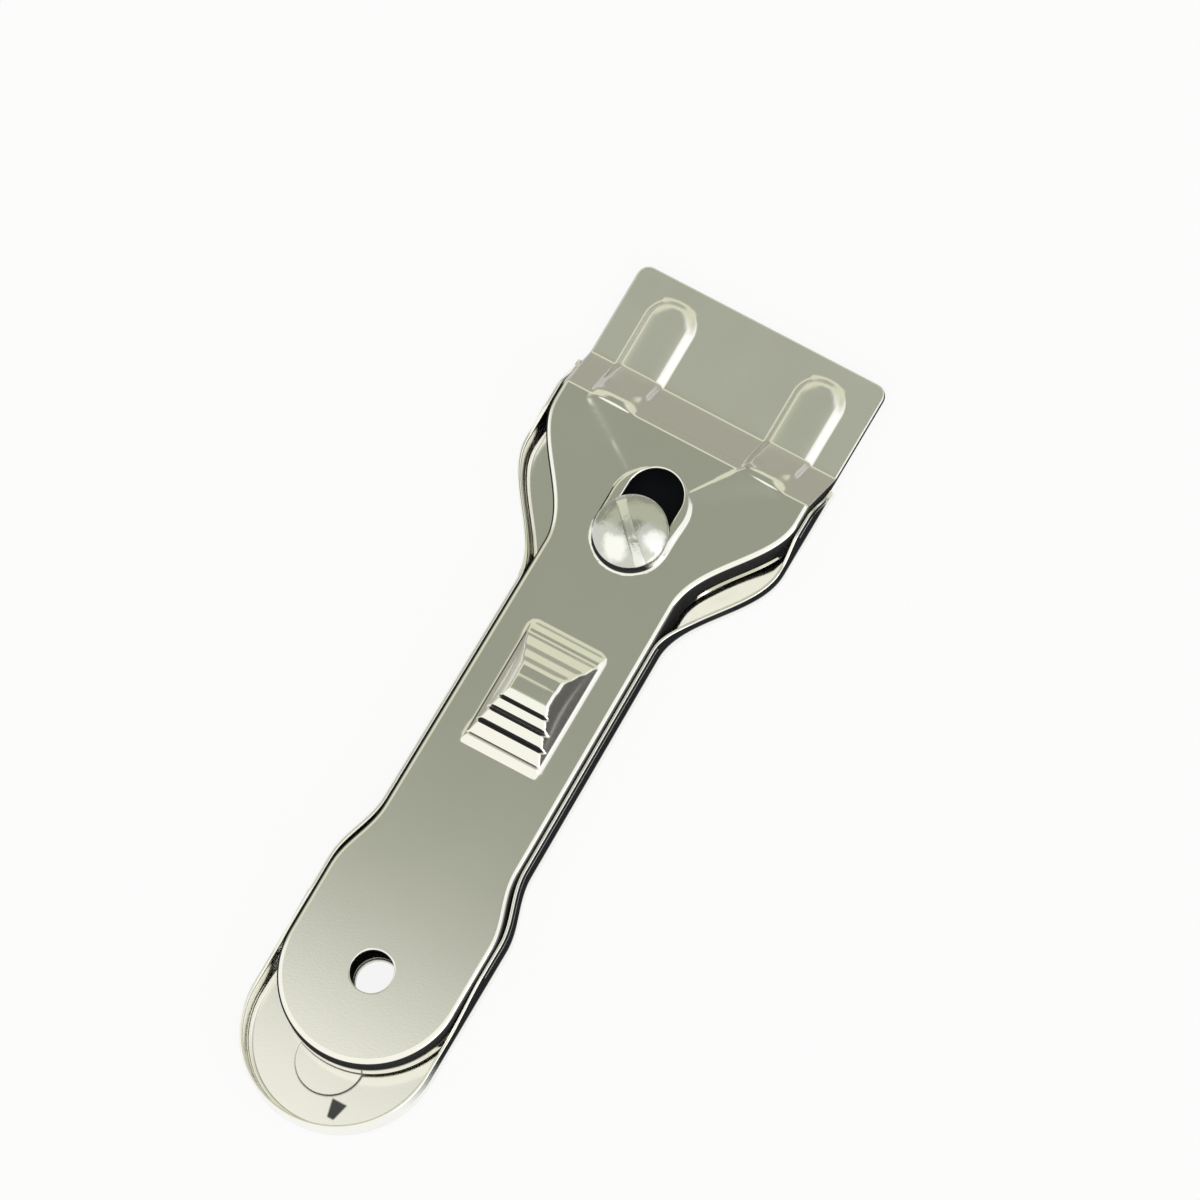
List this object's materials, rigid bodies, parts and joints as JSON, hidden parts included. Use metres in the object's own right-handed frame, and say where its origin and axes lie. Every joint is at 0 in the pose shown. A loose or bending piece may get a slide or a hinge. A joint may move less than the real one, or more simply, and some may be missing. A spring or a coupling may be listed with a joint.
{
  "type": "ceramic hob scraper",
  "caption": "Flat pressed-steel hob scraper: a cover with a blade guard slides back along a slotted clamp screw to bare a razor blade on a shallow tray handle.",
  "frame": {"origin": "middle of the underside of the whole tool's box, cover fully forward: the tray's floor touches Z 0", "axes": "+Y from the hanging hole towards the blade guard, +Z out of the face with the thumb grip and the screw, +X to the right when the face is seen with the guard up"},
  "size_m": [0.047, 0.1466, 0.0104],
  "materials": {
    "nickel_sheet": "polished nickel-plated pressed sheet",
    "spring_steel": "nickel-plated spring strip",
    "turned_steel": "bright zinc-plated",
    "blade_steel": "ground and oiled"
  },
  "bodies": {
    "tray": {"rear_tray": "nickel_sheet", "slide_spring": "spring_steel", "spring_rivet": "turned_steel", "threaded_bush": "turned_steel", "blade": "blade_steel", "blade_studs": "turned_steel"},
    "cover": {"front_cover": "nickel_sheet"},
    "lift": {"washer": "turned_steel"},
    "screw": {"clamp_screw": "turned_steel"}
  },
  "joints": [
    {"name": "cover_slide", "type": "slide", "parent": "tray", "child": "cover", "axis": [0, -1, 0], "range_m": [0, 0.007]},
    {"name": "washer_lift", "type": "slide", "parent": "tray", "child": "lift", "axis": [0, 0, 1], "range_m": [0, 0.0014]},
    {"name": "screw_turn", "type": "hinge", "parent": "lift", "child": "screw", "pos_m": [0, 0.03315, 0.008], "axis": [0, 0, 1], "range_deg": [0, 720]}
  ],
  "couplings": [
    {"joint": "screw_turn", "follows": "washer_lift", "rad_per_m": 8976}
  ]
}
